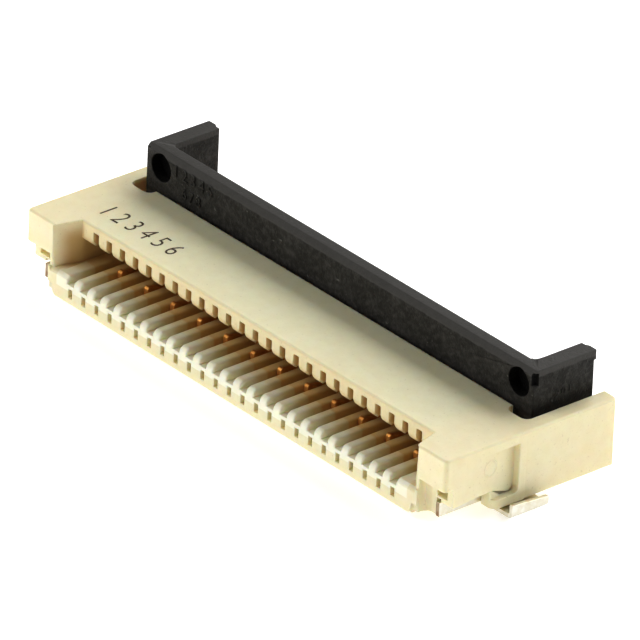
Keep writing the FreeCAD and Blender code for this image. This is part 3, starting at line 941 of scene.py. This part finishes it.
@dataclass
class ContactRow:
    """The stamped contacts, two kinds in turn along the row."""

    finish: bpy.types.Material
    count: int = 25
    pitch: float = 0.5
    rounding: Rounding = Rounding(0.012, 1)

    def blade(self, number: int) -> bpy.types.Object:
        """One rounded blade, moved to the middle of the row.

        Args:
            number: The contact's number, from 1.

        Returns:
            A helper object with the blade's mesh.
        """
        node = f"contact_{number:02d}"
        low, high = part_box(node)
        shift = Vector((-(low.x + high.x) / 2 / MM, 0.0, 0.0))
        return placed(f"blade_{number}", self.rounding.apply(node, f"blade_{number}", shift))

    def tree(self) -> bpy.types.NodeTree:
        """Rule of the row: points at the pitch, and the two blades on them in turn.

        Returns:
            The Geometry Nodes tree.
        """
        tree = bpy.data.node_groups.new("contact_row", "GeometryNodeTree")
        inputs = (("Far Blade", "NodeSocketObject"), ("Near Blade", "NodeSocketObject"), ("Count", "NodeSocketInt"),
                  ("Pitch", "NodeSocketFloat"), ("Finish", "NodeSocketMaterial"))
        tree.interface.new_socket("Geometry", in_out="OUTPUT", socket_type="NodeSocketGeometry")
        for name, kind in inputs:
            tree.interface.new_socket(name, in_out="INPUT", socket_type=kind)
        nodes, link = tree.nodes, tree.links.new

        def maths(operation: str, first: bpy.types.NodeSocket, second: Any) -> bpy.types.NodeSocket:
            """Add one Math node.

            Args:
                operation: The node's operation.
                first: What goes into its first socket.
                second: A socket or a number for the second.

            Returns:
                The node's result.
            """
            node = nodes.new("ShaderNodeMath")
            node.operation = operation
            link(first, node.inputs[0])
            if isinstance(second, float):
                node.inputs[1].default_value = second
            else:
                link(second, node.inputs[1])
            return node.outputs[0]

        given = nodes.new("NodeGroupInput").outputs
        line = nodes.new("GeometryNodeMeshLine")
        link(given["Count"], line.inputs["Count"])
        length = maths("MULTIPLY", maths("SUBTRACT", given["Count"], 1.0), given["Pitch"])
        for value, name in ((given["Pitch"], "Offset"), (maths("MULTIPLY", length, -0.5), "Start Location")):
            along = nodes.new("ShaderNodeCombineXYZ")
            link(value, along.inputs["X"])
            link(along.outputs[0], line.inputs[name])
        whole = nodes.new("FunctionNodeFloatToInt")
        link(maths("MODULO", nodes.new("GeometryNodeInputIndex").outputs[0], 2.0), whole.inputs[0])
        merged = nodes.new("GeometryNodeJoinGeometry")
        for turn, name in enumerate(("Far Blade", "Near Blade")):
            blade = nodes.new("GeometryNodeObjectInfo")
            link(given[name], blade.inputs["Object"])
            pick = nodes.new("FunctionNodeCompare")
            pick.data_type = "INT"
            pick.operation = "EQUAL"
            link(whole.outputs[0], pick.inputs[2])
            pick.inputs[3].default_value = turn
            stand = nodes.new("GeometryNodeInstanceOnPoints")
            link(line.outputs[0], stand.inputs["Points"])
            link(pick.outputs[0], stand.inputs["Selection"])
            link(blade.outputs["Geometry"], stand.inputs["Instance"])
            link(stand.outputs[0], merged.inputs[0])
        real = nodes.new("GeometryNodeRealizeInstances")
        link(merged.outputs[0], real.inputs[0])
        coat = nodes.new("GeometryNodeSetMaterial")
        link(real.outputs[0], coat.inputs["Geometry"])
        link(given["Finish"], coat.inputs["Material"])
        link(coat.outputs[0], nodes.new("NodeGroupOutput").inputs[0])
        return tree

    def build(self) -> bpy.types.Object:
        """Make the whole row as one mesh.

        Returns:
            The row of contacts.
        """
        tree = self.tree()
        blades = [self.blade(1), self.blade(2)]
        helper = placed("row_helper", bpy.data.meshes.new("row_helper"))
        modifier = helper.modifiers.new("row", "NODES")
        modifier.node_group = tree
        given = {"Far Blade": blades[0], "Near Blade": blades[1], "Count": self.count,
                 "Pitch": self.pitch * MM, "Finish": self.finish}
        for item in tree.interface.items_tree:
            if item.in_out == "INPUT":
                modifier[item.identifier] = given[item.name]
        piece = placed("contact_row", baked(helper))
        for spare in (helper, *blades):
            drop(spare)
        names = [f"contact_{number:02d}" for number in range(1, self.count + 1)]
        return dress(piece, self.finish, "body", names)


@dataclass
class HoldDownPair:
    """The tinned solder tabs at the ends."""

    finish: bpy.types.Material
    sides: tuple[str, ...] = ("left", "right")
    rounding: Rounding = Rounding(0.012)

    def build(self) -> list[bpy.types.Object]:
        """Make both tabs with rounded edges.

        Returns:
            The tabs.
        """
        pieces = []
        for side in self.sides:
            node, name = f"hold_down_{side}", f"solder_tab_{side}"
            piece = placed(name, self.rounding.apply(node, name))
            pieces.append(dress(piece, self.finish, "body", [node]))
        return pieces


@dataclass(frozen=True)
class Digits:
    """A row of plain numbers on a flat face, sizes in millimetres."""

    name: str
    text: str
    start: Place
    along: Place
    up: Place
    height: float
    pitch: float
    depth: float
    thin: float
    narrow: float = 1.0
    body: str = "flip_lever"
    slot: str = "lever"
    font_height: float = 0.72
    smoothness: int = 3

    def glyph(self, sign: str) -> bpy.types.Mesh:
        """One number as a flat slab.

        Args:
            sign: The number.

        Returns:
            Its mesh, at the font's own size.
        """
        curve = bpy.data.curves.new(self.name, "FONT")
        curve.body = sign
        curve.align_x = "CENTER"
        curve.offset = -self.thin
        curve.extrude = self.depth / self.height / 2
        curve.resolution_u = self.smoothness
        helper = bpy.data.objects.new(self.name, curve)
        bpy.context.scene.collection.objects.link(helper)
        mesh = baked(helper)
        drop(helper)
        return mesh

    def build(self, finish: bpy.types.Material) -> bpy.types.Object:
        """Make the numbers as one mesh, half sunk in the face.

        Args:
            finish: Their material.

        Returns:
            The row of numbers.
        """
        across, rise = Vector(self.along), Vector(self.up)
        turn = Matrix((across * self.narrow, rise, across.cross(rise))).transposed().to_4x4()
        scale = Matrix.Scale(self.height / self.font_height, 4)
        work = bmesh.new()
        for index, sign in enumerate(self.text):
            mesh = self.glyph(sign)
            origin = Vector(self.start) + across * (index * self.pitch)
            mesh.transform(Matrix.Scale(MM, 4) @ Matrix.Translation(origin) @ turn @ scale)
            work.from_mesh(mesh)
            bpy.data.meshes.remove(mesh)
        bmesh.ops.remove_doubles(work, verts=work.verts, dist=1e-8)
        bmesh.ops.recalc_face_normals(work, faces=work.faces)
        mesh = bpy.data.meshes.new(self.name)
        work.to_mesh(mesh)
        work.free()
        return dress(placed(self.name, mesh), finish, self.body)


@dataclass(frozen=True)
class Markings:
    """The plain numbers: burnt into the plate, and raised on the lever's front and its right arm."""

    burnt: Digits = Digits("plate_numbers", "123456", (-6.53, -1.50, 2.0), ALONG_ROW, INWARDS, 0.58, 0.50, 0.004,
                           0.012, 0.8, "body", "housing")
    raised: tuple[Digits, ...] = (
        Digits("lever_numbers_upper", "12345", (-6.03, 0.46, 2.60), ALONG_ROW, UPWARDS, 0.34, 0.32, 0.05, 0.01),
        Digits("lever_numbers_lower", "678", (-5.70, 0.46, 2.14), ALONG_ROW, UPWARDS, 0.30, 0.26, 0.05, 0.01),
        Digits("arm_numbers", "901", (7.16, 1.20, 2.20), INWARDS, UPWARDS, 0.20, 0.20, 0.03, 0.005))

    def build(self, ink: bpy.types.Material, relief: bpy.types.Material) -> list[bpy.types.Object]:
        """Make every row.

        Args:
            ink: Material of the burnt numbers.
            relief: Material of the raised ones.

        Returns:
            The rows.
        """
        return [self.burnt.build(ink), *(row.build(relief) for row in self.raised)]


@dataclass(frozen=True)
class Softbox:
    """Large flat lamp that faces the connector, sizes in metres and power in watts."""

    name: str
    place: Place
    width: float
    height: float
    power: float

    def build(self) -> None:
        """Put the lamp in the scene."""
        light = bpy.data.lights.new(self.name, "AREA")
        light.shape = "RECTANGLE"
        light.size = self.width
        light.size_y = self.height
        light.energy = self.power
        lamp = bpy.data.objects.new(self.name, light)
        lamp.location = self.place
        lamp.rotation_euler = Vector(self.place).to_track_quat("Z", "Y").to_euler()
        bpy.context.scene.collection.objects.link(lamp)


@dataclass
class Studio:
    """Camera, pale floor and soft light; places in metres, turns in degrees."""

    camera_place: Place = (0.194219, -0.169705, 0.141545)
    camera_turn: Place = (61.4723306, -2.1148696, 50.0062122)
    lens: float = 692.424
    sensor: float = 36.0
    near_clip: float = 0.01
    far_clip: float = 5.0
    floor_half: float = 0.6
    sky: Colour = (1.0, 1.0, 1.0)
    sky_strength: float = 0.10
    contrast: float = 0.75
    lamps: tuple[Softbox, ...] = (
        Softbox("back", (0.000, 0.128, 0.096), 0.24, 0.11, 0.340),
        Softbox("front_left", (-0.080, -0.100, 0.125), 0.10, 0.08, 0.125),
        Softbox("front_low", (-0.030, -0.190, 0.035), 0.18, 0.05, 0.100),
        Softbox("right_rear", (0.150, 0.075, 0.090), 0.12, 0.08, 0.065),
    )

    def build(self) -> None:
        """Set up the whole studio."""
        self.camera()
        self.floor()
        self.world()
        for lamp in self.lamps:
            lamp.build()
        bpy.context.scene.view_settings.view_transform = "Standard"
        bpy.context.scene.view_settings.gamma = self.contrast

    def camera(self) -> None:
        """Camera at the place and angle of the reference view."""
        data = bpy.data.cameras.new("camera")
        data.lens = self.lens
        data.sensor_width = self.sensor
        data.clip_start = self.near_clip
        data.clip_end = self.far_clip
        camera = bpy.data.objects.new("camera", data)
        camera.location = self.camera_place
        camera.rotation_euler = Euler([math.radians(turn) for turn in self.camera_turn], "XYZ")
        bpy.context.scene.collection.objects.link(camera)
        bpy.context.scene.camera = camera

    def floor(self) -> None:
        """Plain pale floor at the board's height."""
        half = self.floor_half
        mesh = bpy.data.meshes.new("floor")
        places = [(-half, -half, 0), (half, -half, 0), (half, half, 0), (-half, half, 0)]
        mesh.from_pydata(places, [], [(0, 1, 2, 3)])
        mesh.materials.append(PaleFloor().build())
        placed("floor", mesh)

    def world(self) -> None:
        """Even light from all round."""
        world = bpy.data.worlds.new("studio")
        world.use_nodes = True
        background = world.node_tree.nodes["Background"]
        background.inputs["Color"].default_value = (*self.sky, 1.0)
        background.inputs["Strength"].default_value = self.sky_strength
        bpy.context.scene.world = world


def main() -> None:
    """Build the studio and every sub-assembly."""
    logging.basicConfig(level=logging.INFO, format="%(name)s: %(message)s")
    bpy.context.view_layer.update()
    Studio().build()
    gold = Plating(Metal.GOLD, bright=(0.74, 0.43, 0.15), dull=(0.62, 0.32, 0.10), bare=(0.62, 0.30, 0.16),
                   roughness=0.58, cut_ends=(2.786, 2.790))
    tin = Plating(Metal.TIN, bright=(0.86, 0.85, 0.79), dull=(0.76, 0.71, 0.57), bare=(0.30, 0.16, 0.07),
                  roughness=0.36, cut_ends=(-2.484, -2.488))
    MouldedHousing(IvoryPlastic().build()).build()
    ContactRow(gold.build()).build()
    FlipLever(BlackPlastic().build()).build()
    HoldDownPair(tin.build()).build()
    Markings().build(BurntInk().build(), BlackPlastic("black_relief", roughness=0.34).build())


if __name__ == "__main__":
    main()
